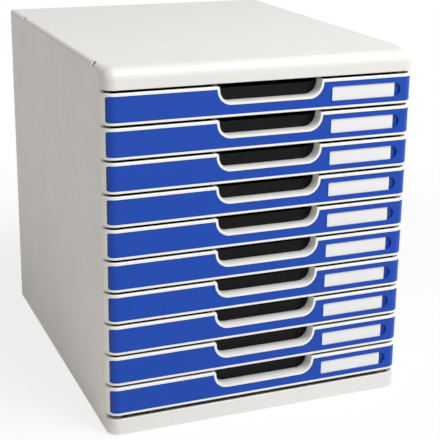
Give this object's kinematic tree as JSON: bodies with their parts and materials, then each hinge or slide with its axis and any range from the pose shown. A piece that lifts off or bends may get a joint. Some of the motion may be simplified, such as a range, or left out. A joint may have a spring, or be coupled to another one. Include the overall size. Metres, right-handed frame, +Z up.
{
  "type": "drawer cabinet",
  "caption": "Free-standing desktop cabinet of shallow full-width drawers with finger cut-outs and label slots, sliding on moulded runners in a light plastic case.",
  "frame": {"origin": "middle of the base, on the surface that the feet stand on", "axes": "+Z up, the drawer fronts face -Y, +X to the right seen from the front"},
  "size_m": [0.28, 0.345, 0.32],
  "materials": {
    "case_shell": "satin gloss, light warm grey",
    "drawer_front": "satin gloss, light grey",
    "fascia": "gloss, strong blue",
    "label": "uncoated white card",
    "tray": "semi-gloss, near black",
    "edge_pin": "matt, black",
    "screw": "zinc plated",
    "foot": "matt, black"
  },
  "bodies": {
    "cabinet": {"case_top": "case_shell", "left_side_panel": "case_shell", "right_side_panel": "case_shell", "case_base": "case_shell", "back_panel": "case_shell", "corner_pins": "edge_pin", "base_screws": "screw", "back_screws": "screw", "rubber_feet": "foot"},
    "drawer_01": {"drawer_01_tray": "tray", "drawer_01_front": "drawer_front", "drawer_01_fascia": "fascia", "drawer_01_label": "label"},
    "drawer_02": {"drawer_02_tray": "tray", "drawer_02_front": "drawer_front", "drawer_02_fascia": "fascia", "drawer_02_label": "label"},
    "drawer_03": {"drawer_03_tray": "tray", "drawer_03_front": "drawer_front", "drawer_03_fascia": "fascia", "drawer_03_label": "label"},
    "drawer_04": {"drawer_04_tray": "tray", "drawer_04_front": "drawer_front", "drawer_04_fascia": "fascia", "drawer_04_label": "label"},
    "drawer_05": {"drawer_05_tray": "tray", "drawer_05_front": "drawer_front", "drawer_05_fascia": "fascia", "drawer_05_label": "label"},
    "drawer_06": {"drawer_06_tray": "tray", "drawer_06_front": "drawer_front", "drawer_06_fascia": "fascia", "drawer_06_label": "label"},
    "drawer_07": {"drawer_07_tray": "tray", "drawer_07_front": "drawer_front", "drawer_07_fascia": "fascia", "drawer_07_label": "label"},
    "drawer_08": {"drawer_08_tray": "tray", "drawer_08_front": "drawer_front", "drawer_08_fascia": "fascia", "drawer_08_label": "label"},
    "drawer_09": {"drawer_09_tray": "tray", "drawer_09_front": "drawer_front", "drawer_09_fascia": "fascia", "drawer_09_label": "label"},
    "drawer_10": {"drawer_10_tray": "tray", "drawer_10_front": "drawer_front", "drawer_10_fascia": "fascia", "drawer_10_label": "label"}
  },
  "joints": [
    {"name": "drawer_01_slide", "type": "slide", "parent": "cabinet", "child": "drawer_01", "axis": [0, -1, 0], "range_m": [0, 0.24]},
    {"name": "drawer_02_slide", "type": "slide", "parent": "cabinet", "child": "drawer_02", "axis": [0, -1, 0], "range_m": [0, 0.24]},
    {"name": "drawer_03_slide", "type": "slide", "parent": "cabinet", "child": "drawer_03", "axis": [0, -1, 0], "range_m": [0, 0.24]},
    {"name": "drawer_04_slide", "type": "slide", "parent": "cabinet", "child": "drawer_04", "axis": [0, -1, 0], "range_m": [0, 0.24]},
    {"name": "drawer_05_slide", "type": "slide", "parent": "cabinet", "child": "drawer_05", "axis": [0, -1, 0], "range_m": [0, 0.24]},
    {"name": "drawer_06_slide", "type": "slide", "parent": "cabinet", "child": "drawer_06", "axis": [0, -1, 0], "range_m": [0, 0.24]},
    {"name": "drawer_07_slide", "type": "slide", "parent": "cabinet", "child": "drawer_07", "axis": [0, -1, 0], "range_m": [0, 0.24]},
    {"name": "drawer_08_slide", "type": "slide", "parent": "cabinet", "child": "drawer_08", "axis": [0, -1, 0], "range_m": [0, 0.24]},
    {"name": "drawer_09_slide", "type": "slide", "parent": "cabinet", "child": "drawer_09", "axis": [0, -1, 0], "range_m": [0, 0.24]},
    {"name": "drawer_10_slide", "type": "slide", "parent": "cabinet", "child": "drawer_10", "axis": [0, -1, 0], "range_m": [0, 0.24]}
  ]
}
